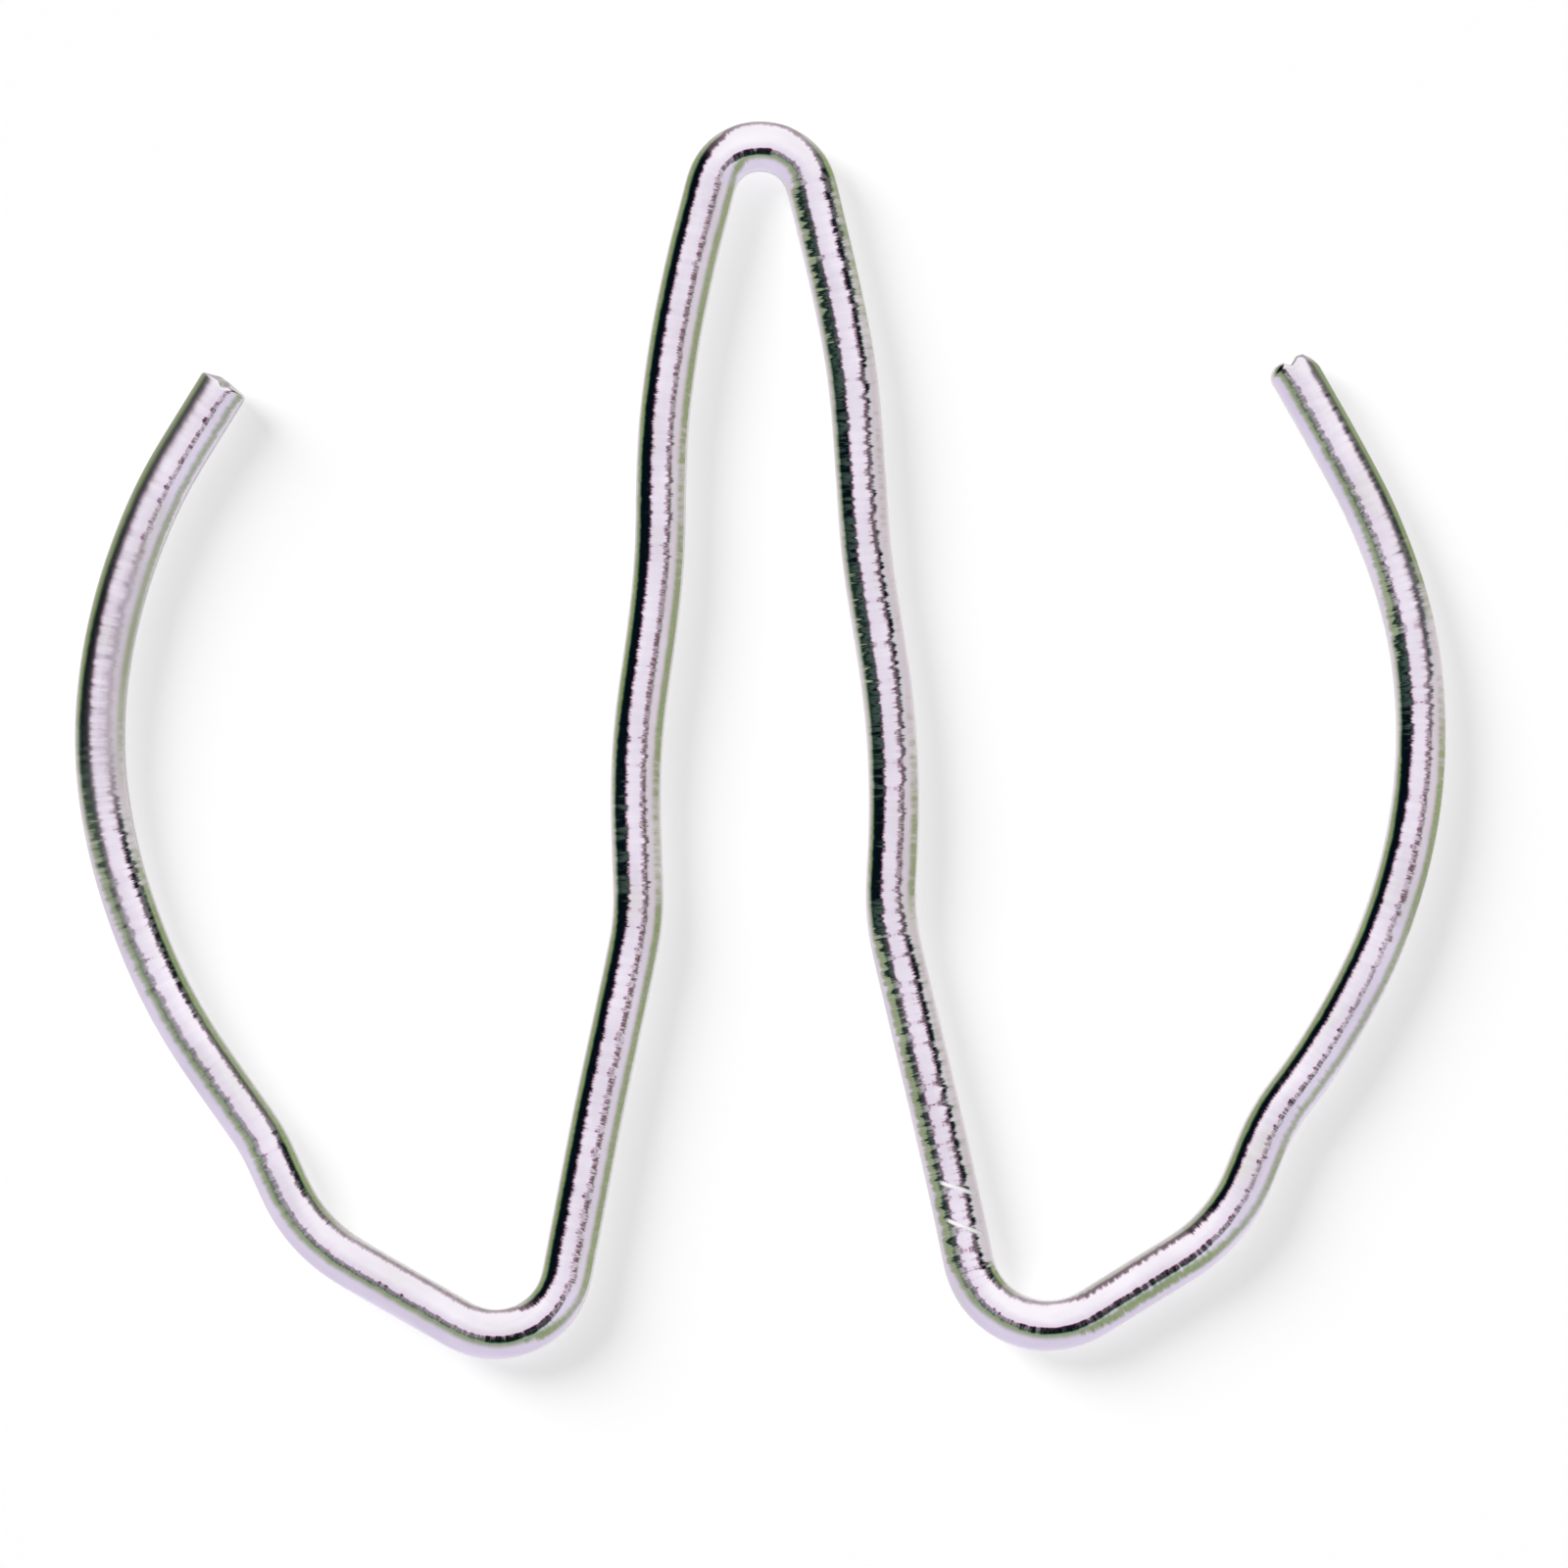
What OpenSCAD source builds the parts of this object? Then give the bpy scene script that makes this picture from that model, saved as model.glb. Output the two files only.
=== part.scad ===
// Socket retaining ring: a spring clip bent from one length of round steel wire.
// Two arms curve round the outside, and a hairpin stands up between them.
// The clip lies flat with its underside at z = 0, its arms open towards +Y.
// Every bend is given by its corner, which is where the centre lines of the
// two straights beside it would meet, and by its centre line's bend radius.
// Corners are measured to the side and in height from the clip's middle.

/* [Wire] */
// Diameter of the wire
wire_d = 1.6; // [1.2:0.05:2]

/* [Arm ends] */
// Left arm's cut end, distance to the side
left_end_x = 17.35; // [16:0.05:18.5]
// Left arm's cut end, height
left_end_y = 11.7; // [10:0.05:14]
// Angle off square of the left cut, positive where the inner side is longer
left_cut_tilt = 1; // [0:1:15]
// Right arm's cut end, distance to the side
right_end_x = 17.4; // [16:0.05:18.5]
// Right arm's cut end, height
right_end_y = 12.1; // [10:0.05:14]
// Angle off square of the right cut, positive where the inner side is longer
right_cut_tilt = 8; // [0:1:15]

/* [Arms] */
// Upper bend of both arms, height
arm_upper_y = 5; // [3:0.05:6]
// Upper bend of both arms, radius
arm_upper_r = 16.3; // [10:0.1:17]
// Upper bend of the left arm, distance to the side
left_arm_upper_x = 21.65; // [20.5:0.05:23]
// Upper bend of the right arm, distance to the side
right_arm_upper_x = 21.3; // [20.5:0.05:23]
// Lower bend of both arms, height
arm_lower_y = -5.9; // [-7:0.05:-4]
// Lower bend of both arms, radius
arm_lower_r = 18.7; // [12:0.1:19]
// Lower bend of the left arm, distance to the side
left_arm_lower_x = 21.35; // [20.5:0.05:23]
// Lower bend of the right arm, distance to the side
right_arm_lower_x = 21.85; // [20.5:0.05:23]

/* [Shoulders] */
// Bend that turns each arm in and down, radius
shoulder_r = 6.1; // [3:0.1:7]
// Left shoulder, distance to the side
left_shoulder_x = 16.2; // [15.5:0.05:17.5]
// Left shoulder, height
left_shoulder_y = -13.15; // [-14:0.05:-12]
// Right shoulder, distance to the side
right_shoulder_x = 16.6; // [15.5:0.05:17.5]
// Right shoulder, height
right_shoulder_y = -12.5; // [-14:0.05:-12]
// Bend that turns each arm back out towards its foot, radius
hollow_r = 5.3; // [3:0.1:6]
// Left hollow, distance to the side
left_hollow_x = 14.8; // [14:0.05:15.5]
// Left hollow, height
left_hollow_y = -16.25; // [-17:0.05:-15.5]
// Right hollow, distance to the side
right_hollow_x = 15.25; // [14:0.05:15.5]
// Right hollow, height
right_hollow_y = -16.05; // [-17:0.05:-15.5]

/* [Feet] */
// Corner of both feet, height
foot_y = -20.85; // [-22:0.05:-19.5]
// Left foot, distance to the side
left_foot_x = 7.05; // [6:0.05:9]
// Left foot, bend radius
left_foot_r = 2.35; // [1.5:0.05:3]
// Right foot, distance to the side
right_foot_x = 7.65; // [6:0.05:9]
// Right foot, bend radius
right_foot_r = 2.75; // [1.5:0.05:3]

/* [Legs] */
// Knee of both legs, where they leave their slope, height
knee_y = -5.85; // [-7:0.05:-4.5]
// Knee of both legs, radius
knee_r = 7.9; // [4:0.1:9]
// Left knee, distance to the side
left_knee_x = 4; // [3.5:0.05:5]
// Right knee, distance to the side
right_knee_x = 4.15; // [3.5:0.05:5]
// Belly of both legs, their widest point above the knee, height
belly_y = -0.6; // [-1.5:0.05:0.5]
// Belly of both legs, radius
belly_r = 30; // [15:0.5:35]
// Left belly, distance to the side
left_belly_x = 4.15; // [3.8:0.05:5]
// Right belly, distance to the side
right_belly_x = 4.45; // [3.8:0.05:5]
// Waist of both legs, where they run straight up again, height
waist_y = 5.9; // [4.5:0.05:7]
// Waist of both legs, radius
waist_r = 26; // [12:0.5:30]
// Left waist, distance to the side
left_waist_x = 3.25; // [2.8:0.05:3.8]
// Right waist, distance to the side
right_waist_x = 3.4; // [2.8:0.05:3.8]
// Neck of both legs, where they lean in to the crown, height
neck_y = 11.75; // [10:0.05:13]
// Neck of both legs, radius
neck_r = 22; // [10:0.5:25]
// Left neck, distance to the side
left_neck_x = 3.15; // [2.8:0.05:3.6]
// Right neck, distance to the side
right_neck_x = 3; // [2.8:0.05:3.6]

/* [Crown] */
// The two corners at the top of the hairpin, height
crown_y = 19.3; // [17:0.05:21]
// The two corners at the top of the hairpin, bend radius
crown_r = 1.6; // [1.3:0.05:1.9]
// Left corner of the crown, distance to the side
left_crown_x = 1.35; // [1.2:0.05:1.9]
// Right corner of the crown, distance to the side
right_crown_x = 1.35; // [1.2:0.05:1.9]

/* [Hidden] */

// Facets round the wire, and along a full turn of a bend
wire_facets = 48;
bend_facets = 360;
// The wire is this much thicker in its bends, and each straight runs this
// far into the bend beside it, so that straight and bend join cleanly
bend_swell = 0.02;
join_lap = 0.05;
// Shortest straight left between two bends that a change of size pushes together
least_straight = 0.1;
// Wire left past each end before it is cut to length
cut_spare = wire_d / 2;

// Corners and bend radii from the left arm's end to the right arm's end
route = [
    [-left_end_x, left_end_y, 0],
    [-left_arm_upper_x, arm_upper_y, arm_upper_r],
    [-left_arm_lower_x, arm_lower_y, arm_lower_r],
    [-left_shoulder_x, left_shoulder_y, shoulder_r],
    [-left_hollow_x, left_hollow_y, hollow_r],
    [-left_foot_x, foot_y, left_foot_r],
    [-left_knee_x, knee_y, knee_r],
    [-left_belly_x, belly_y, belly_r],
    [-left_waist_x, waist_y, waist_r],
    [-left_neck_x, neck_y, neck_r],
    [-left_crown_x, crown_y, crown_r],
    [right_crown_x, crown_y, crown_r],
    [right_neck_x, neck_y, neck_r],
    [right_waist_x, waist_y, waist_r],
    [right_belly_x, belly_y, belly_r],
    [right_knee_x, knee_y, knee_r],
    [right_foot_x, foot_y, right_foot_r],
    [right_hollow_x, right_hollow_y, hollow_r],
    [right_shoulder_x, right_shoulder_y, shoulder_r],
    [right_arm_lower_x, arm_lower_y, arm_lower_r],
    [right_arm_upper_x, arm_upper_y, arm_upper_r],
    [right_end_x, right_end_y, 0],
];
last = len(route) - 1;

function corner(i) = [route[i][0], route[i][1]];
// Direction and length of the line from corner i to the next one
function line(i) = corner(i + 1) - corner(i);
function heading(i) = atan2(line(i)[1], line(i)[0]);
// Turn at corner i, positive to the left, from -180 to 180 degrees
function wrap(a) = a > 180 ? a - 360 : a < -180 ? a + 360 : a;
function turn(i) = wrap(heading(i) - heading(i - 1));
// Distance from a corner to the start of its bend, at the radius asked for
function ends(i) = i == 0 || i == last;
function wanted(i) = ends(i) ? 0 : route[i][2] * tan(abs(turn(i)) / 2);
// Share of the wanted radii that line i has room for
function room(i) = min(1, (norm(line(i)) - least_straight) / (wanted(i) + wanted(i + 1)));
function radius(i) = route[i][2] * min(room(i - 1), room(i));
function tangent(i) = ends(i) ? -cut_spare : radius(i) * tan(abs(turn(i)) / 2);

// A straight of the given length that starts at p and runs along the heading
module straight(p, heading, length, d) {
    translate([p[0], p[1], wire_d / 2])
        rotate([0, 90, heading])
            cylinder(d = d, h = length, $fn = wire_facets);
}

// The straight on line i, which laps into the bend at each of its ends
module line_wire(i) {
    start = tangent(i) - join_lap;
    length = norm(line(i)) - tangent(i) - tangent(i + 1) + 2 * join_lap;
    straight(corner(i) + start * line(i) / norm(line(i)), heading(i), length, wire_d - bend_swell);
}

// The bend at corner i
module bend_wire(i) {
    side = sign(turn(i));
    across = [-sin(heading(i - 1)), cos(heading(i - 1))];
    start = corner(i) - tangent(i) * line(i - 1) / norm(line(i - 1));
    centre = start + side * radius(i) * across;
    first = heading(i - 1) - side * 90 + min(turn(i), 0);
    translate([centre[0], centre[1], wire_d / 2])
        rotate([0, 0, first])
            rotate_extrude(angle = abs(turn(i)), $fn = bend_facets)
                translate([radius(i), 0])
                    circle(d = wire_d, $fn = wire_facets);
}

// All that lies past a cut through p, where the wire leaves along the heading
module past_cut(p, heading, tilt) {
    reach = 2 * wire_d;
    translate([p[0], p[1], wire_d / 2])
        rotate([0, 0, heading + tilt])
            translate([0, -reach, -reach])
                cube([reach, 2 * reach, 2 * reach]);
}

module retaining_ring() {
    color("silver")
        union() {
            difference() {
                line_wire(0);
                past_cut(corner(0), heading(0) + 180, -left_cut_tilt);
            }
            for (i = [1 : last - 1]) bend_wire(i);
            for (i = [1 : last - 2]) line_wire(i);
            difference() {
                line_wire(last - 1);
                past_cut(corner(last), heading(last - 1), right_cut_tilt);
            }
        }
}

retaining_ring();
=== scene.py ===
import math

import bpy
import numpy as np
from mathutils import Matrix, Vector


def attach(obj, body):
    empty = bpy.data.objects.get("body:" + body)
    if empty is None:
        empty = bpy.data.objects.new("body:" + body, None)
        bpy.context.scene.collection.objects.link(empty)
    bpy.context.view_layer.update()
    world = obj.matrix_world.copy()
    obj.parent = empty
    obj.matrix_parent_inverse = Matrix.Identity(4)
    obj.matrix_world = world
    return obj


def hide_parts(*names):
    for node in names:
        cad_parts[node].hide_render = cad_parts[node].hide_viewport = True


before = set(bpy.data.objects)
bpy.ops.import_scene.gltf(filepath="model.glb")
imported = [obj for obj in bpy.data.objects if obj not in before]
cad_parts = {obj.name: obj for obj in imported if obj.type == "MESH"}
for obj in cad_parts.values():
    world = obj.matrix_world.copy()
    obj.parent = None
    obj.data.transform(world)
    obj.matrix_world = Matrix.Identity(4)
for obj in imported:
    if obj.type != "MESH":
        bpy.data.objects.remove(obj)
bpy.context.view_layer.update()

MM = 0.001

# The wire, in millimetres, as in the part's source
WIRE_R = 0.8
# Corners of the wire's route from the left arm's end to the right arm's end,
# each with the bend radius of the centre line there
ROUTE = [
    (-17.35, 11.7, 0),  # left arm's end
    (-21.65, 5, 16.3),  # left arm, upper bend
    (-21.35, -5.9, 18.7),  # left arm, lower bend
    (-16.2, -13.15, 6.1),  # left shoulder
    (-14.8, -16.25, 5.3),  # left hollow
    (-7.05, -20.85, 2.35),  # left foot
    (-4, -5.85, 7.9),  # left knee
    (-4.15, -0.6, 30),  # left belly
    (-3.25, 5.9, 26),  # left waist
    (-3.15, 11.75, 22),  # left neck
    (-1.35, 19.3, 1.6),  # crown, left corner
    (1.35, 19.3, 1.6),  # crown, right corner
    (3, 11.75, 22),  # right neck
    (3.4, 5.9, 26),  # right waist
    (4.45, -0.6, 30),  # right belly
    (4.15, -5.85, 7.9),  # right knee
    (7.65, -20.85, 2.75),  # right foot
    (15.25, -16.05, 5.3),  # right hollow
    (16.6, -12.5, 6.1),  # right shoulder
    (21.85, -5.9, 18.7),  # right arm, lower bend
    (21.3, 5, 16.3),  # right arm, upper bend
    (17.4, 12.1, 0),  # right arm's end
]
# How far the real wire strays to the left of that route: distance along it, and how far
WANDER = [
    (0, -0.07), (3, -0.02), (6.5, 0.06), (9, 0.03), (13.5, -0.10), (19, 0.0), (25, -0.06),
    (31, -0.06), (36.6, 0.03), (40, -0.05), (46, 0.02), (51, -0.04), (58, 0.01), (61.5, -0.03),
    (66.6, 0.06), (70.6, -0.04), (74.6, 0.06), (76.6, -0.02), (78.4, 0.06), (80, 0.03),
    (84.6, 0.11), (88, 0.05), (103, 0.04), (112, 0.08), (115.4, 0.05), (118.4, -0.05),
    (122, 0.05), (126.6, 0.0), (130.6, -0.08), (135, 0.02), (142.6, -0.07), (147, -0.05),
    (151, 0.03), (154.6, -0.01), (157.6, 0.04),
]
# Fewest points along a bend
LEAST_ARC_POINTS = 4
# Angle off square of each cut end, positive where the inner side is longer
LEFT_CUT_TILT = math.radians(1)
RIGHT_CUT_TILT = math.radians(8)

# The photograph shows a square of the table this wide, around this point
VIEW_WIDTH = 51.2
VIEW_CENTRE = (0.77, -1.5)


def smooth_step(low, high, value):
    """0 below low and 1 above high, with a smooth rise between them."""
    t = np.clip((value - low) / (high - low), 0, 1)
    return t * t * (3 - 2 * t)


def distances(points):
    """Distance along a line of points, from its first to each of them."""
    steps = np.linalg.norm(np.diff(points, axis=0), axis=1)
    return np.concatenate([[0], np.cumsum(steps)])


def ring_faces(count, sides):
    """Faces that join rings of points, each ring to the next one."""
    faces = []
    for i in range(count - 1):
        for j in range(sides):
            k = (j + 1) % sides
            faces.append((i * sides + j, i * sides + k, (i + 1) * sides + k, (i + 1) * sides + j))
    return faces


def add_object(name, data):
    """An object in the scene, made from a mesh, a lamp or a camera."""
    made = bpy.data.objects.new(name, data)
    bpy.context.scene.collection.objects.link(made)
    return made


def arc_points(before, corner, after, radius, step):
    """Points along the bend that rounds a corner."""
    u = (corner - before) / np.linalg.norm(corner - before)
    v = (after - corner) / np.linalg.norm(after - corner)
    turn = math.atan2(u[0] * v[1] - u[1] * v[0], u @ v)
    start = corner - u * radius * math.tan(abs(turn) / 2)
    centre = start + np.array([-u[1], u[0]]) * math.copysign(radius, turn)
    first = math.atan2(*(start - centre)[::-1])
    count = max(LEAST_ARC_POINTS, int(abs(turn) * radius / step))
    angles = first + np.linspace(0, turn, count)
    return centre + radius * np.stack([np.cos(angles), np.sin(angles)], axis=1)


class WirePath:
    """The centre line by distance along it, in millimetres, with its bends eased in and out."""

    STEP = 0.02
    SPARE = 3.0  # straight wire added past both ends while the line is smoothed
    EASE = 0.22  # how far a bend's start is spread along the wire
    EASE_REACH = 4 * EASE  # where that spreading ends
    WANDER_EASE = 2.0  # how far the corners between the rows of WANDER are spread

    def __init__(self):
        corners = [np.array(c[:2], float) for c in ROUTE]
        points = [corners[0] + self.SPARE * self.outward(corners[0], corners[1])]
        for i in range(1, len(ROUTE) - 1):
            before, corner, after = corners[i - 1 : i + 2]
            points.extend(arc_points(before, corner, after, ROUTE[i][2], self.STEP))
        points.append(corners[-1] + self.SPARE * self.outward(corners[-1], corners[-2]))
        x, y = self.evenly(np.array(points)).T
        reach = int(self.EASE_REACH / self.STEP)
        kernel = np.exp(-0.5 * (np.arange(-reach, reach + 1) * self.STEP / self.EASE) ** 2)
        kernel /= kernel.sum()
        eased = np.stack([np.convolve(x, kernel, "valid"), np.convolve(y, kernel, "valid")], axis=1)
        near_start = np.argmin(np.linalg.norm(eased - corners[0], axis=1))
        near_end = np.argmin(np.linalg.norm(eased - corners[-1], axis=1))
        self.measure(eased[near_start : near_end + 1])
        left = np.stack([-self.tangents[:, 1], self.tangents[:, 0]], axis=1)
        self.measure(self.points + left * self.stray()[:, None])

    def measure(self, points):
        """Takes points as the line, with the distance along it and its direction at each."""
        self.points = points
        self.along = distances(points)
        self.length = self.along[-1]
        tangent = np.gradient(points, axis=0)
        self.tangents = tangent / np.linalg.norm(tangent, axis=1)[:, None]

    def stray(self):
        """How far to the left of the route each point lies, with the rows of WANDER eased."""
        rows = np.array(WANDER)
        reach = int(self.WANDER_EASE / self.STEP)
        kernel = np.hanning(2 * reach + 1)
        padded = np.pad(np.interp(self.along, rows[:, 0], rows[:, 1]), reach, "edge")
        return np.convolve(padded, kernel / kernel.sum(), "valid")

    @staticmethod
    def outward(end, inner):
        """Direction in which the wire leaves its end."""
        return (end - inner) / np.linalg.norm(end - inner)

    def evenly(self, points):
        """The same line with its points at even spacing."""
        along = distances(points)
        even = np.arange(0, along[-1], self.STEP)
        return np.stack([np.interp(even, along, points[:, k]) for k in (0, 1)], axis=1)

    def at(self, along):
        """Place and direction of travel at distances along the wire."""
        place = np.stack([np.interp(along, self.along, self.points[:, k]) for k in (0, 1)], axis=1)
        travel = np.stack([np.interp(along, self.along, self.tangents[:, k]) for k in (0, 1)], axis=1)
        return place, travel / np.linalg.norm(travel, axis=1)[:, None]


# Facets round the wire, and the spacing of the rings along it and across its scratches
SIDES = 72
RING_STEP = 0.16
FINE_STEP = 0.02
# The finer rings start this far before a scratch, end this far past it and keep this gap to others
FINE_BEFORE = 0.25
FINE_AFTER = 0.2
FINE_GAP = 0.05
# Rows of the wire's unwrapped skin, one above the other in its bake map
STRIPS = 6
# The rings of each cut end: share of a quarter turn round its rim, then share of the face's radius
RIM_TURNS = (0, 0.2, 0.4, 0.6, 0.8, 1)
FACE_SHARES = (0.85, 0.65, 0.45, 0.25)
# Length of wire over which a slanted cut shears the rings before it
SHEAR_REACH = 2.5
# Wire at each end that is left to the end's own rings
RIM_START = 0.65

# Scratches across the right leg: where each starts along the wire, how much further on it
# ends, and its reach from side to side, in millimetres
SCRATCHES = [(114.2, 0.65, -0.35, 0.74), (115.45, 0.75, -0.4, 0.74)]
SCRATCH_DEPTH = 0.0006
SCRATCH_HALF_WIDTH = 0.07
# Shares of a scratch's reach at which it sets in and runs out
SCRATCH_START = (-0.08, 0.1)
SCRATCH_END = (0.9, 1.0)


def scratch_mark(along, across, height):
    """1 in the middle of a scratch and 0 away from it, at places on the skin."""
    mark = np.zeros(np.broadcast(along, across).shape)
    for start, run, low, high in SCRATCHES:
        share = (across - low) / (high - low)
        off_line = (along - start - run * share) / SCRATCH_HALF_WIDTH
        reach = smooth_step(*SCRATCH_START, share) * (1 - smooth_step(*SCRATCH_END, share))
        mark += np.exp(-(off_line**4)) * reach * (height > 0)
    return mark


def ring_places(path):
    """Distances along the wire at which it has a ring."""
    coarse = np.arange(RIM_START, path.length - RIM_START, RING_STEP)
    fine = [
        np.arange(start - FINE_BEFORE, start + run + FINE_AFTER, FINE_STEP)
        for start, run, _, _ in SCRATCHES
    ]
    clear = [c for c in coarse if not any(f[0] - FINE_GAP < c < f[-1] + FINE_GAP for f in fine)]
    edges = np.arange(1, STRIPS) * path.length / STRIPS
    places = np.concatenate([clear, *fine, edges, [path.length - RIM_START]])
    return np.unique(np.round(places, 4))


# The torn lip of each end: distance to the left of the wire's middle, and how far it stands out
LIPS = {
    "left": [
        (-0.8, -0.21), (-0.19, -0.20), (-0.06, -0.28), (0.02, -0.33),
        (0.12, -0.27), (0.22, -0.22), (0.4, -0.20), (0.8, -0.22),
    ],
    "right": [
        (-0.8, 0.01), (-0.7, 0.12), (-0.6, 0.22), (-0.5, 0.30), (-0.29, 0.31), (-0.15, 0.20), (0.0, 0.10),
        (0.08, 0.11), (0.18, 0.25), (0.35, 0.24), (0.5, 0.19), (0.7, 0.06), (0.8, -0.02),
    ],
}
# Radius of the worn rim of each end: its least, and then what it gains between two places across the
# wire, as shares of the wire's radius to the left of its middle. The right end's rim is rolled over.
RIMS = {
    "left": (0.09, [(0.04, -0.1, 0.3)]),
    "right": (0.11, [(0.10, 0.1, 0.3), (0.18, 0.0, -0.5)]),
}
# An end face's torn half: the heights between which it sets in and the wave of that line, as a size
# and a rate, how far the half is set back, and its own waves, as a size and rates up and across
TEAR_HEIGHTS = (-0.15, 0.1)
TEAR_WAVE = (0.12, 5)
TORN_DEPTH = 0.035
TORN_WAVES = (0.012, 9, 2)
# The share of the face's radius, to this power, is how much of that relief its edge loses
RELIEF_FADE = 6


def lip(end, across):
    """How far a cut end's torn lip stands out."""
    rows = np.array(LIPS[end])
    return np.interp(across, rows[:, 0], rows[:, 1])


def rim_radius(end, across):
    """Radius of the worn rim of a cut end."""
    radius, gains = RIMS[end]
    for gain, start, full in gains:
        radius = radius + gain * smooth_step(start, full, across / WIRE_R)
    return radius


def face_relief(across, height):
    """How far a sheared end face stands out: a smooth half, and a torn half set back from it."""
    swing, rate = TEAR_WAVE
    torn = smooth_step(*TEAR_HEIGHTS, height + swing * np.sin(rate * across))
    size, up, over = TORN_WAVES
    return -TORN_DEPTH * torn + size * np.sin(up * height + over * across) * torn


def wire_mesh(path):
    """The wire's skin as rings of points, with its material places and its bake map."""
    angles = np.linspace(0, 2 * math.pi, SIDES, endpoint=False)
    cos, sin = np.cos(angles), np.sin(angles)
    rings, skin_places = [], []

    def add_ring(base, axial, radius, skin_along):
        place, travel = path.at(np.array([base]))
        place, travel = place[0], travel[0]
        left = np.array([-travel[1], travel[0]])
        across, height = radius * cos, radius * sin
        xy = place + np.outer(across, left) + np.outer(axial, travel)
        rings.append(np.column_stack([xy, height + WIRE_R]))
        skin_places.append(np.column_stack([skin_along, across, height]))

    def shear(along):
        left_share = 1 - smooth_step(0, SHEAR_REACH, along)
        right_share = smooth_step(path.length - SHEAR_REACH, path.length, along)
        slope = left_share * -math.tan(LEFT_CUT_TILT) + right_share * math.tan(RIGHT_CUT_TILT)
        return slope * WIRE_R * cos

    def add_end(end):
        sign = -1 if end == "left" else 1
        base = 0 if end == "left" else path.length
        rim = rim_radius(end, WIRE_R * cos)
        cap = []
        for turn in RIM_TURNS:
            angle = turn * math.pi / 2
            radius = WIRE_R - rim * (1 - math.cos(angle))
            stand = lip(end, radius * cos) - rim * (1 - math.sin(angle))
            cap.append((shear(base) * radius / WIRE_R + sign * stand, radius))
        for share in FACE_SHARES:
            radius = share * (WIRE_R - rim)
            relief = face_relief(radius * cos, radius * sin) * (1 - share**RELIEF_FADE)
            stand = relief + lip(end, radius * cos) * share
            cap.append((shear(base) * radius / WIRE_R + sign * stand, radius))
        for axial, radius in cap if end == "right" else reversed(cap):
            add_ring(base, axial, radius, base + axial)

    add_end("left")
    for along in ring_places(path):
        radius = WIRE_R - SCRATCH_DEPTH * scratch_mark(along, WIRE_R * cos, WIRE_R * sin)
        add_ring(along, shear(along), radius, np.full(SIDES, along))
    add_end("right")

    count = len(rings)
    verts = np.concatenate(rings)
    skin = np.concatenate(skin_places)
    faces = ring_faces(count, SIDES)
    tips = []
    for ring, order in ((0, -1), (count - 1, 1)):
        centre = rings[ring].mean(axis=0)
        tip = len(verts) + len(tips)
        tips.append((centre, skin_places[ring].mean(axis=0)))
        for j in range(SIDES):
            k = (j + 1) % SIDES
            pair = (ring * SIDES + j, ring * SIDES + k)
            faces.append((*(pair if order > 0 else pair[::-1]), tip))
    verts = np.vstack([verts, [t[0] for t in tips]])
    skin = np.vstack([skin, [t[1] for t in tips]])
    mesh = bpy.data.meshes.new("wire")
    mesh.from_pydata((verts * MM).tolist(), [], faces)
    mesh.shade_smooth()
    place = mesh.attributes.new("skin_place", "FLOAT_VECTOR", "POINT")
    place.data.foreach_set("vector", skin.astype(np.float32).ravel())
    along, across, height = skin.T
    for name, values in (
        ("dullness", dullness(along, across)),
        ("scratched", scratch_mark(along, across, height)),
    ):
        shares = mesh.attributes.new(name, "FLOAT", "POINT")
        shares.data.foreach_set("value", values.astype(np.float32))
    bake_map(mesh, skin, path.length)
    return mesh


# Where the plating has gone dull, by distance along the wire. The outer side of the clip runs from
# one place across the wire to another. On it, the left arm has layers, each with how dull it is and
# the distances between which it fades out, and the right arm has one that fades in.
OUTER_SIDE = (0.1, -0.3)
LEFT_OUTER_DULL = [(0.5, 12, 36), (0.5, 3, 11)]
RIGHT_OUTER_DULL = (0.4, 143, 150)
# The left arm's inner side has a dull patch that fades in, and then out, between these distances
LEFT_INNER_START = (5, 7.5)
LEFT_INNER_END = (12.5, 17)


def dullness(along, across):
    """1 where the bright plating has gone dull, towards the arms' ends, and 0 where it is bright."""
    outer = smooth_step(*OUTER_SIDE, across)
    left_outer = sum(share * (1 - smooth_step(full, none, along)) for share, full, none in LEFT_OUTER_DULL)
    left_inner = smooth_step(*LEFT_INNER_START, along) * (1 - smooth_step(*LEFT_INNER_END, along))
    share, none, full = RIGHT_OUTER_DULL
    right_outer = share * smooth_step(none, full, along)
    return np.clip(left_outer * outer + left_inner * (1 - outer) + right_outer * outer, 0, 1)


# The bake map, in shares of its size: the strips' total height, the gap above each strip, and the
# margins at their start and below them. Each end face has its middle and its radius.
STRIPS_HEIGHT = 0.92
STRIP_GAP = 0.012
STRIP_MARGIN = 0.01
STRIPS_BOTTOM = 0.005
LEFT_FACE_MIDDLE = (0.05, 0.965)
RIGHT_FACE_MIDDLE = (0.15, 0.965)
FACE_RADIUS = 0.03


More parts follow.
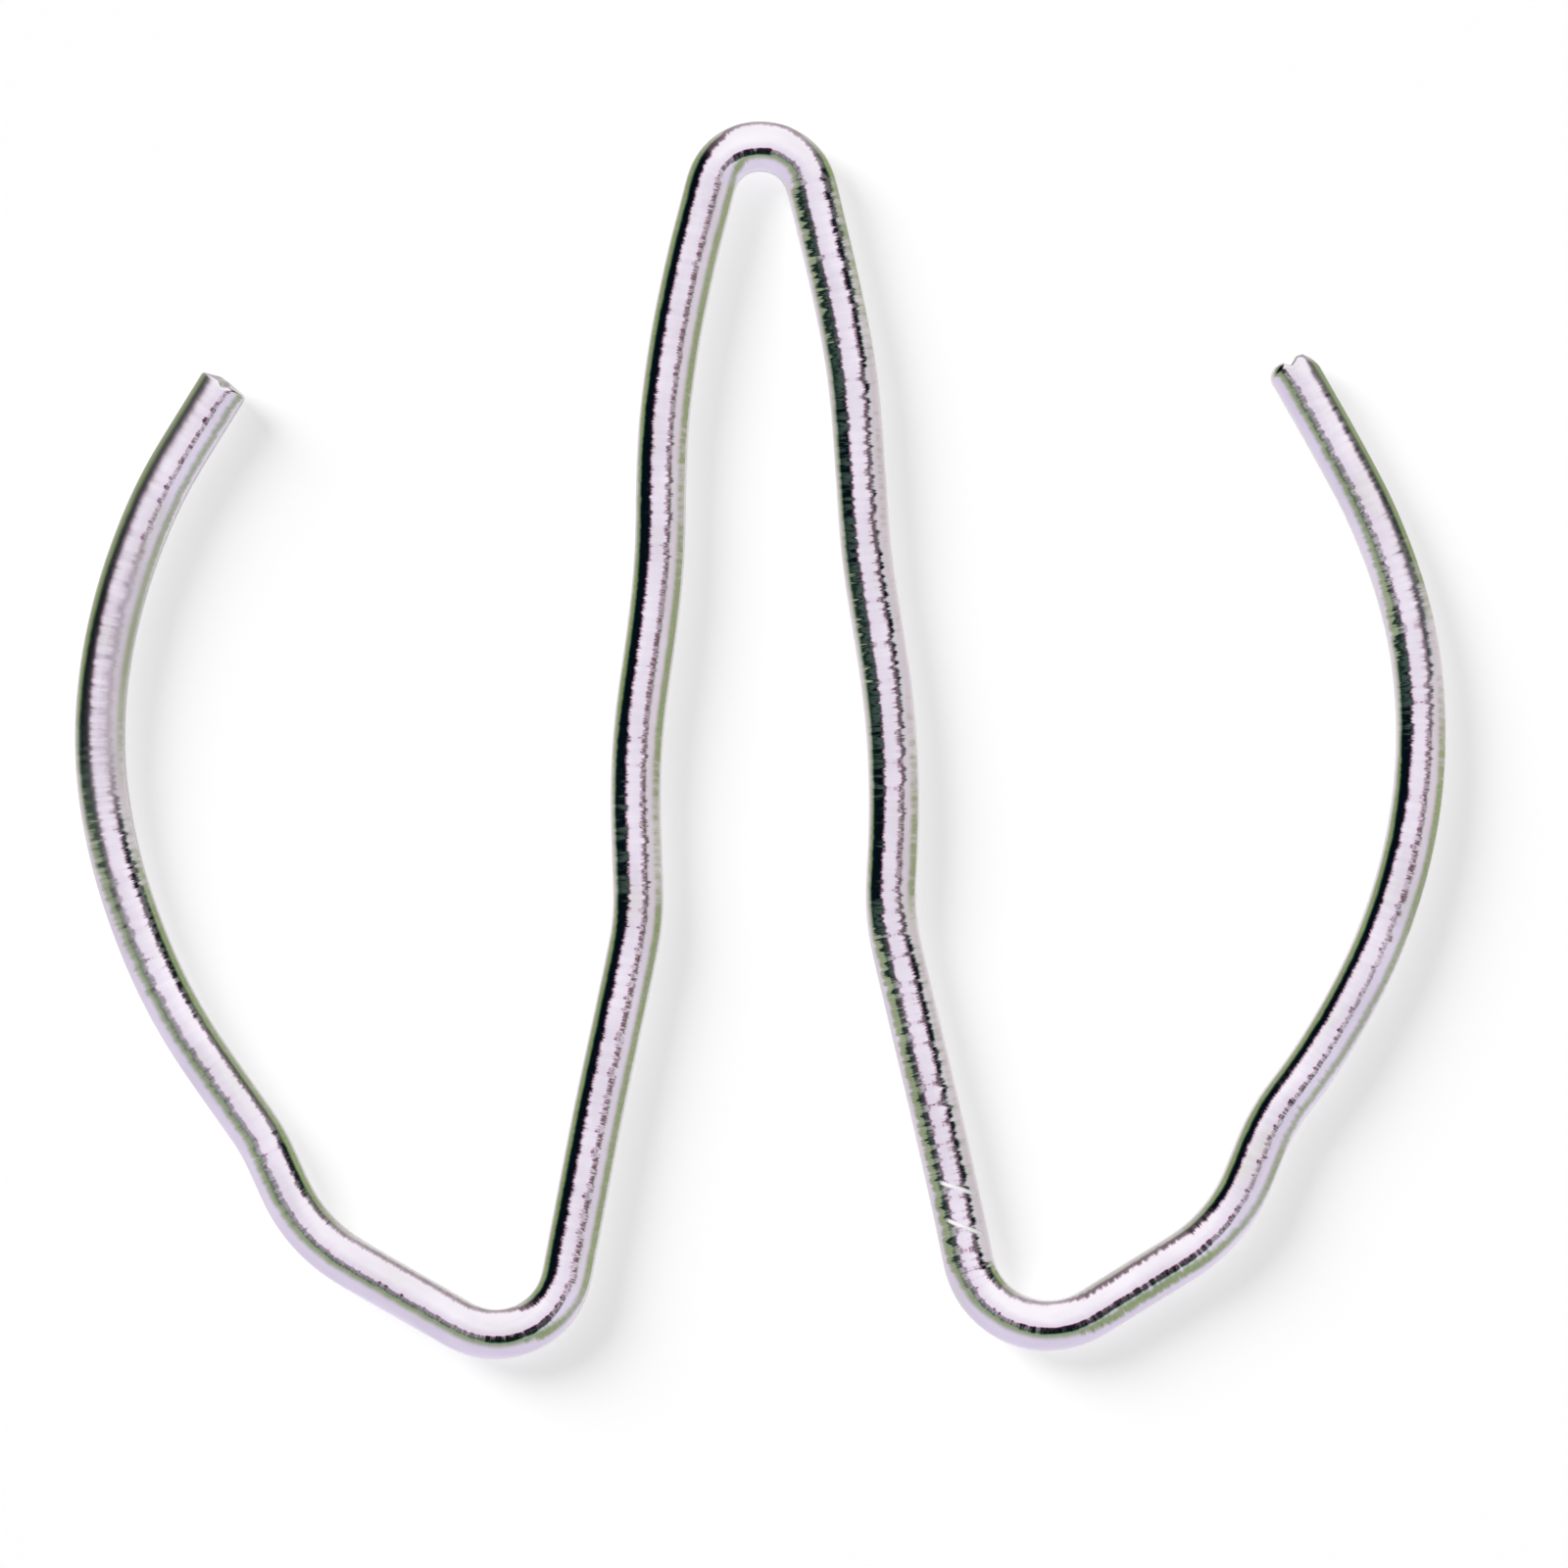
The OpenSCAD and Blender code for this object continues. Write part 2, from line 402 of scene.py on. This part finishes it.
def bake_map(mesh, skin, length):
    """Lays the skin out as strips one above the other, and the two end faces above them."""
    end_scale = FACE_RADIUS / WIRE_R
    uv = mesh.uv_layers.new(name="OFBake")
    loops = np.empty(len(mesh.loops), np.int32)
    mesh.loops.foreach_get("vertex_index", loops)
    coords = np.zeros((len(loops), 2), np.float32)
    last_body = len(mesh.vertices) - 2
    rings = last_body // SIDES
    end_rings = len(RIM_TURNS) + len(FACE_SHARES)
    for poly in mesh.polygons:
        span = range(poly.loop_start, poly.loop_start + poly.loop_total)
        ids = [int(loops[k]) for k in span]
        on_ring = [point for point in ids if point < last_body]
        lowest, highest = min(on_ring) // SIDES, max(on_ring) // SIDES
        at_left = highest < end_rings
        at_right = lowest >= rings - end_rings
        if at_left or at_right:
            u, v = LEFT_FACE_MIDDLE if at_left else RIGHT_FACE_MIDDLE
            for k, point in zip(span, ids):
                coords[k] = (u + skin[point, 1] * end_scale, v + skin[point, 2] * end_scale)
            continue
        centre = skin[ids, 0].mean()
        strip = min(STRIPS - 1, max(0, int(centre / (length / STRIPS))))
        sides = [point % SIDES for point in ids]
        wraps = max(sides) - min(sides) > 1
        for k, point, side in zip(span, ids, sides):
            if wraps and side == 0:
                side = SIDES
            u = skin[point, 0] / (length / STRIPS) - strip
            row = (strip + side / SIDES * (1 - STRIP_GAP * STRIPS)) / STRIPS
            coords[k] = (STRIP_MARGIN + (1 - 2 * STRIP_MARGIN) * u, STRIPS_BOTTOM + STRIPS_HEIGHT * row)
    uv.data.foreach_set("uv", coords.ravel())


class Nodes:
    """Short ways to add and join the nodes of one material or world."""

    def __init__(self, owner):
        owner.use_nodes = True
        self.tree = owner.node_tree
        self.tree.nodes.clear()

    def add(self, kind, settings=None, **inputs):
        node = self.tree.nodes.new(kind)
        for name, value in (settings or {}).items():
            setattr(node, name, value)
        for name, value in inputs.items():
            self.feed(node, name.replace("_", " "), value)
        return node

    def feed(self, node, name, value):
        socket = node.inputs[int(name)] if name.isdigit() else node.inputs[name]
        if isinstance(value, bpy.types.NodeSocket):
            self.tree.links.new(value, socket)
        else:
            socket.default_value = value

    def attribute(self, name, output):
        return self.add("ShaderNodeAttribute", {"attribute_name": name}).outputs[output]

    def maths(self, operation, first, second):
        node = self.add("ShaderNodeMath", {"operation": operation})
        self.feed(node, "0", first)
        self.feed(node, "1", second)
        return node.outputs[0]

    def scaled(self, vector, factors):
        node = self.add("ShaderNodeVectorMath", {"operation": "MULTIPLY"})
        self.feed(node, "0", vector)
        self.feed(node, "1", factors)
        return node.outputs[0]

    def noise(self, vector, grain, detail):
        """Noise with its own grain, in cells per unit, along each axis."""
        node = self.add("ShaderNodeTexNoise", Vector=self.scaled(vector, grain), Scale=1.0, Detail=detail)
        return node.outputs["Fac"]

    def ramp(self, value, stops):
        node = self.add("ShaderNodeValToRGB", Fac=value)
        ramp = node.color_ramp
        while len(ramp.elements) < len(stops):
            ramp.elements.new(1)
        for element, (position, colour) in zip(ramp.elements, stops):
            element.position = position
            element.color = (*colour, 1)
        return node.outputs["Color"]

    def mix(self, first, second, share):
        """A colour, a share of the way towards a fixed colour."""
        node = self.add("ShaderNodeMix", {"data_type": "RGBA"})
        self.feed(node, "0", share)
        self.feed(node, "6", first)
        self.feed(node, "7", (*second, 1))
        return node.outputs[2]

    def range(self, value, to_low, to_high, from_low=0.0, from_high=1.0):
        limits = {"From_Min": from_low, "From_Max": from_high, "To_Min": to_low, "To_Max": to_high}
        return self.add("ShaderNodeMapRange", Value=value, **limits).outputs["Result"]


SILVER = (0.80, 0.76, 0.82)
SILVER_DEEP = (0.72, 0.68, 0.74)
TARNISH = (0.66, 0.67, 0.60)
SCRATCH_WHITE = (1.0, 1.0, 1.0)
# Where each tone lies between the lowest and highest values of the patches
TONES = [(0.35, SILVER), (0.6, SILVER_DEEP), (0.8, TARNISH)]
# Grain of each pattern on the plating, in cells per millimetre along, across and up, and its detail
DRAWN = ((0.5, 22, 22), 3)
RIPPLE = ((2.3, 0.8, 0.8), 1)
CHATTER = ((8, 1.6, 1.6), 1)
GRAIN = ((16, 16, 16), 2)
PATCHES = ((0.35, 0.9, 0.9), 3)
# Height of each pattern, in millimetres, where two numbers are for bright and for dull plating
RIPPLE_HEIGHT = 0.03
CHATTER_HEIGHTS = (0.004, 0.006)
DRAWN_HEIGHT = 0.0004
GRAIN_HEIGHTS = (0.0002, 0.001)
# Roughness from the drawing lines' lowest to highest, and what dull plating and a scratch add
DRAWN_LEVELS = (0.3, 0.7)
BRIGHT_ROUGHNESS = (0.06, 0.1)
DULL_ROUGHNESS = 0.24
SCRATCH_ROUGHNESS = 0.5
SCRATCH_METALLIC = 0.1


def spring_wire_material():
    """Bright plated spring wire: drawn, faintly rippled, and dull towards the arms' ends."""
    material = bpy.data.materials.new("spring_wire")
    n = Nodes(material)
    place = n.attribute("skin_place", "Vector")
    dull = n.attribute("dullness", "Fac")
    scratched = n.attribute("scratched", "Fac")
    metallic = n.range(scratched, 1, SCRATCH_METALLIC)
    drawn, ripple, chatter, grain, patches = (
        n.noise(place, *pattern) for pattern in (DRAWN, RIPPLE, CHATTER, GRAIN, PATCHES)
    )

    tone = n.mix(n.ramp(patches, TONES), SCRATCH_WHITE, scratched)
    roughness = n.range(drawn, *BRIGHT_ROUGHNESS, *DRAWN_LEVELS)
    for share, added in ((dull, DULL_ROUGHNESS), (scratched, SCRATCH_ROUGHNESS)):
        roughness = n.maths("ADD", roughness, n.maths("MULTIPLY", share, added))
    height = n.maths("MULTIPLY", ripple, RIPPLE_HEIGHT)
    for pattern, deep in (
        (chatter, n.range(dull, *CHATTER_HEIGHTS)),
        (drawn, DRAWN_HEIGHT),
        (grain, n.range(dull, *GRAIN_HEIGHTS)),
    ):
        height = n.maths("ADD", height, n.maths("MULTIPLY", pattern, deep))
    bump = n.add("ShaderNodeBump", Strength=1.0, Distance=MM, Height=height)
    shader = n.add(
        "ShaderNodeBsdfPrincipled",
        Metallic=metallic,
        Base_Color=tone,
        Roughness=roughness,
        Normal=bump.outputs["Normal"],
    )
    n.add("ShaderNodeOutputMaterial", Surface=shader.outputs[0])
    return material


def make_wire(path):
    """The ring, which is hidden from reflections, so that it doesn't show in its own metal."""
    wire = add_object("spring_wire_ring", wire_mesh(path))
    wire.data.materials.append(spring_wire_material())
    wire.visible_glossy = False
    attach(wire, "root")
    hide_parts("retaining_ring")


# The backdrop: a light tent round the wire, which only reflections see. Its rows follow the dark
# and olive bands that the photograph shows along the wire. A direction from the wire is an azimuth,
# from +X towards +Y, and an angle down from straight above, both in degrees.
# The dark frame of the tent's opening: azimuth, inner edge, outer edge, darkness, redness, which is
# below 0 for green, and how far it is broken up round the sky
FRAME = [
    (-178, 38, 112, 1.0, 0.0, 0.0),
    (-176, 34, 106, 1.0, -0.6, 0.03),
    (-171, 32, 106, 1.0, -0.9, 0.05),
    (-169.5, 30, 92, 1.0, -0.6, 0.1),
    (-167, 30, 66, 0.95, 0.0, 0.3),
    (-158, 18, 56, 0.65, -0.6, 0.5),
    (-151, 15, 52, 0.65, -0.6, 0.5),
    (-145, 17, 42, 0.75, -0.4, 0.4),
    (-132, 12, 38, 0.8, -0.2, 0.3),
    (-121, 12, 36, 0.75, -0.2, 0.3),
    (-112, 10, 32, 0.7, 0.1, 0.4),
    (-91, 8, 41, 1.0, 0.0, 0.0),
    (-75, 8, 41, 1.0, 0.0, 0.05),
    (-58, 8, 40, 1.0, 0.1, 0.1),
    (-38, 11, 34, 0.9, 0.6, 0.6),
    (-26, 13, 36, 0.7, 0.8, 0.8),
    (-22, 18, 40, 0.5, 0.8, 0.8),
    (-18, 22, 46, 0.5, 0.8, 0.6),
    (-13.4, 22, 52, 0.9, 1.0, 0.5),
    (-11.5, 13, 41, 0.9, 1.0, 0.5),
    (-8, 18, 49, 0.9, 1.0, 0.5),
    (-3.3, 26, 50, 0.8, 0.6, 0.4),
    (-1, 23, 53, 0.9, 0.9, 0.4),
    (1.6, 18, 47, 0.9, 0.9, 0.4),
    (3.2, 33, 60, 0.9, 0.4, 0.2),
    (9, 41, 72, 1.0, 0.2, 0.1),
    (11.5, 50, 84, 1.0, 0.05, 0.0),
    (13.2, 44, 82, 1.0, 0.05, 0.0),
    (18, 58, 108, 1.0, -0.05, 0.2),
    (24, 64, 108, 1.0, -0.1, 0.2),
    (31, 72, 112, 0.9, 0.0, 0.2),
    (36, 78, 114, 0.85, 0.2, 0.2),
    (53, 94, 122, 0.6, 0.6, 0.2),
    (73, 112, 158, 0.6, 0.8, 0.2),
    (93, 120, 160, 0.5, 0.8, 0.0),
    (111, 110, 150, 0.6, 0.8, 0.0),
    (122, 84, 120, 0.8, 0.6, 0.0),
    (142, 62, 110, 1.0, 0.0, 0.0),
    (155, 58, 104, 1.0, 0.0, 0.0),
    (165, 54, 104, 1.0, 0.0, 0.0),
    (169, 50, 104, 1.0, 0.0, 0.0),
    (174, 45, 106, 1.0, 0.0, 0.0),
    (178, 43, 112, 1.0, 0.0, 0.0),
]
# The olive fringe outside it: azimuth, inner edge, outer edge, strength
FRINGE = [
    (-175, 86, 132, 0.6),
    (-168, 55, 120, 0.85),
    (-158, 36, 84, 0.85),
    (-145, 34, 70, 0.9),
    (-121, 24, 58, 0.9),
    (-100, 22, 58, 0.9),
    (-69, 30, 66, 0.85),
    (-58, 42, 96, 0.95),
    (-46, 60, 104, 0.9),
    (-35, 74, 116, 0.75),
    (-27, 84, 136, 0.7),
    (-16, 90, 155, 0.85),
    (-4, 90, 156, 0.9),
    (6, 92, 152, 0.1),
    (11, 92, 152, 0.1),
    (18, 84, 170, 0.8),
    (24, 80, 172, 0.95),
    (36, 92, 172, 0.8),
    (59, 115, 160, 0.2),
    (93, 120, 160, 0.0),
    (122, 100, 160, 0.3),
    (145, 84, 150, 0.9),
    (174, 86, 140, 0.95),
]
# The tent's colours. Its opening is brighter, and the table greyer, in directions that lean towards
# the picture's top by the sines between which each sets in.
OPENING = (1.02, 0.985, 1.05)
OPENING_BRIGHT = (1.2, 1.19, 1.2)
BRIGHT_LEAN = (-0.1, 0.5)
GREY_LEAN = (-0.5, 0.0)
FRAME_BLACK = (0.002, 0.006, 0.010)
FRAME_RED = (0.14, 0.035, 0.05)
FRAME_GREEN = (0.045, 0.11, 0.07)
OLIVE = (0.24, 0.36, 0.09)
TABLE_LAVENDER = (0.90, 0.85, 0.99)
TABLE_GREY = (0.86, 0.80, 0.82)
# Waves round the sky, each with its spacing in degrees and its slant in radians per degree down: the
# breaks in the frame, the scallops of its inner edge and the mottling of the olive fringe
BREAKS = (14, 0.05)
SCALLOPS = (6, 0)
MOTTLE = (5, 0.08)
# Heights of the first wave between which a break sets in, and how green the frame stays in between
BREAK_LEVELS = (-0.5, 0.6)
LEAST_GREEN = 0.15
# Depth of the scallops, in degrees, and how far down the inner edge is where they set in
SCALLOP_DEPTH = 6
SCALLOPED = (25, 45)
MOTTLE_DEPTH = 0.1
# Shares of its distance from straight above that each edge of the frame takes to fade, with the
# narrowest and widest it may be, and how much further out the frame starts and ends in red light
INNER_EDGE = (0.25, 2.5, 7)
OUTER_EDGE = (0.12, 4, 14)
RED_SHIFT = 1.5
FRINGE_EDGE = 18
# The tent's radius, in metres, and the spacing of its points round and down it, in degrees
TENT_RADIUS = 1.0
TENT_ROUND_STEP = 1.5
TENT_DOWN_STEP = 1


def round_the_sky(table, azimuth):
    """Values of a table of tent directions at any azimuth, eased between its rows."""
    rows = np.array(sorted(table), float)
    keys = np.concatenate([rows[-1:, 0] - 360, rows[:, 0], rows[:1, 0] + 360])
    values = np.vstack([rows[-1:, 1:], rows[:, 1:], rows[:1, 1:]])
    return [np.interp(azimuth, keys, values[:, k]) for k in range(values.shape[1])]


def band(value, low, high, low_edge, high_edge=None):
    """1 between two values and 0 outside them, with soft edges of these half widths."""
    high_edge = low_edge if high_edge is None else high_edge
    past_low = smooth_step(low - low_edge, low + low_edge, value)
    return past_low * (1 - smooth_step(high - high_edge, high + high_edge, value))


def mixed(first, second, share):
    """Colours between two colours, by a list of shares of the second."""
    first, second = np.asarray(first), np.asarray(second)
    return first + (second - first) * share[:, None]


def sky_waves(azimuth, polar, spacing, slant):
    """Waves from -1 to 1 round the sky."""
    return np.cos(2 * math.pi * azimuth / spacing + slant * polar)


def tent_colour(azimuth, polar):
    """Light that the wire sees in a direction, both angles in degrees."""
    inner, outer, darkness, redness, broken = round_the_sky(FRAME, azimuth)
    olive_inner, olive_outer, olive = round_the_sky(FRINGE, azimuth)
    breaks = smooth_step(*BREAK_LEVELS, sky_waves(azimuth, polar, *BREAKS))
    towards_top = np.sin(np.radians(azimuth)) * np.sin(np.radians(polar))
    inside = mixed(OPENING, OPENING_BRIGHT, smooth_step(*BRIGHT_LEAN, towards_top))
    outside = mixed(TABLE_LAVENDER, TABLE_GREY, smooth_step(*GREY_LEAN, towards_top))
    mottle = 1 - MOTTLE_DEPTH + MOTTLE_DEPTH * sky_waves(azimuth, polar, *MOTTLE)
    fringe = band(polar, olive_inner, olive_outer, FRINGE_EDGE)
    outside = mixed(outside, OLIVE, olive * mottle * fringe)
    colour = mixed(inside, outside, smooth_step(inner, outer, polar))
    frame_colour = mixed(FRAME_BLACK, FRAME_RED, np.clip(redness, 0, 1))
    green = np.clip(-redness, 0, 1) * (LEAST_GREEN + (1 - LEAST_GREEN) * breaks)
    frame_colour = frame_colour + green[:, None] * (np.array(FRAME_GREEN) - FRAME_BLACK)
    darkness = darkness * (1 - broken * breaks)
    scallops = SCALLOP_DEPTH * sky_waves(azimuth, polar, *SCALLOPS)
    inner = inner + scallops * smooth_step(*SCALLOPED, inner)
    inner_edge, outer_edge = (
        np.clip(place * share, least, most)
        for place, (share, least, most) in ((inner, INNER_EDGE), (outer, OUTER_EDGE))
    )
    for channel, shift in enumerate((RED_SHIFT, 0, RED_SHIFT / 2)):
        dark = darkness * band(polar - shift, inner, outer, inner_edge, outer_edge)
        colour[:, channel] += (frame_colour[:, channel] - colour[:, channel]) * dark
    return colour


def tent_material():
    """Gives off the light that the tent's colour attribute holds."""
    material = bpy.data.materials.new("light_tent")
    n = Nodes(material)
    light = n.add("ShaderNodeEmission", Color=n.attribute("glow", "Color"), Strength=1.0)
    n.add("ShaderNodeOutputMaterial", Surface=light.outputs[0])
    material.cycles.emission_sampling = "NONE"
    return material


def make_tent():
    """The backdrop all round, a metre away. Only reflections see it, and the metal shows little else."""
    azimuths = np.arange(0, 360, TENT_ROUND_STEP)
    polars = np.arange(0, 180 + TENT_DOWN_STEP / 2, TENT_DOWN_STEP)
    a, p = (grid.ravel() for grid in np.meshgrid(azimuths, polars))
    ar, pr = np.radians(a), np.radians(p)
    directions = np.stack([np.sin(pr) * np.cos(ar), np.sin(pr) * np.sin(ar), np.cos(pr)], axis=1)
    mesh = bpy.data.meshes.new("light_tent")
    mesh.from_pydata((TENT_RADIUS * directions).tolist(), [], ring_faces(len(polars), len(azimuths)))
    glow = mesh.attributes.new("glow", "FLOAT_COLOR", "POINT")
    rgba = np.column_stack([tent_colour((a + 180) % 360 - 180, p), np.ones(len(a))])
    glow.data.foreach_set("color", rgba.astype(np.float32).ravel())
    mesh.materials.append(tent_material())
    tent = add_object("light_tent", mesh)
    tent.location = (0, 0, WIRE_R * MM)
    for ray in ("camera", "diffuse", "transmission", "volume_scatter", "shadow"):
        setattr(tent, "visible_" + ray, False)


# The floor's width, in metres
FLOOR_WIDTH = 8.0
FLOOR_COLOUR = (0.985, 0.985, 0.985)
# Shares of the table's light: from straight above, from the lamp that casts the shadow, and from
# all round
ABOVE_LIGHT = 0.66
SIDE_LIGHT = 0.30
ROUND_LIGHT = 0.05
SIDE_AZIMUTH = math.radians(143)
SIDE_ELEVATION = math.radians(31)
SIDE_ANGLE = math.radians(30)
ABOVE_ANGLE = math.radians(8)


def make_floor():
    """The table, which is hidden from reflections: the lower half of the tent shows in its place."""
    half = FLOOR_WIDTH / 2
    mesh = bpy.data.meshes.new("floor")
    corners = [(-half, -half, 0), (half, -half, 0), (half, half, 0), (-half, half, 0)]
    mesh.from_pydata(corners, [], [(0, 1, 2, 3)])
    material = bpy.data.materials.new("pale_table")
    n = Nodes(material)
    shader = n.add("ShaderNodeBsdfDiffuse", Color=(*FLOOR_COLOUR, 1))
    n.add("ShaderNodeOutputMaterial", Surface=shader.outputs[0])
    mesh.materials.append(material)
    floor = add_object("floor", mesh)
    floor.visible_glossy = False


def add_sun(name, azimuth, elevation, angle, share):
    """A distant lamp that gives the level table this share of full white. The metal doesn't show it."""
    lamp = bpy.data.lights.new(name, "SUN")
    lamp.angle = angle
    lamp.energy = share * math.pi / math.sin(elevation)
    sun = add_object(name, lamp)
    flat = math.cos(elevation)
    towards = Vector((math.cos(azimuth) * flat, math.sin(azimuth) * flat, math.sin(elevation)))
    sun.rotation_euler = towards.to_track_quat("Z", "Y").to_euler()
    sun.visible_glossy = False


def make_world():
    """A white background, which gives only a little of the light."""
    world = bpy.data.worlds.new("studio")
    bpy.context.scene.world = world
    n = Nodes(world)
    rays = n.add("ShaderNodeLightPath").outputs
    seen = n.maths("MAXIMUM", rays["Is Camera Ray"], rays["Is Glossy Ray"])
    seen = n.maths("MAXIMUM", seen, rays["Is Transmission Ray"])
    strength = n.range(seen, ROUND_LIGHT, 1)
    background = n.add("ShaderNodeBackground", Color=(1, 1, 1, 1), Strength=strength)
    n.add("ShaderNodeOutputWorld", Surface=background.outputs[0])


# The camera's lens and sensor, in millimetres, and the nearest that it sees, in metres
LENS = 500
SENSOR = 36
CLIP_START = 0.01


def make_camera():
    """Looks straight down, from far enough for the view to fill the picture."""
    data = bpy.data.cameras.new("camera")
    data.lens = LENS
    data.sensor_width = SENSOR
    data.clip_start = CLIP_START
    camera = add_object("camera", data)
    distance = VIEW_WIDTH * LENS / SENSOR
    camera.location = (VIEW_CENTRE[0] * MM, VIEW_CENTRE[1] * MM, (distance + WIRE_R) * MM)
    bpy.context.scene.camera = camera


bpy.context.scene.view_settings.view_transform = "Standard"
wire_path = WirePath()
make_camera()
make_wire(wire_path)
make_tent()
make_floor()
add_sun("light_above", 0, math.pi / 2, ABOVE_ANGLE, ABOVE_LIGHT)
add_sun("light_side", SIDE_AZIMUTH, SIDE_ELEVATION, SIDE_ANGLE, SIDE_LIGHT)
make_world()
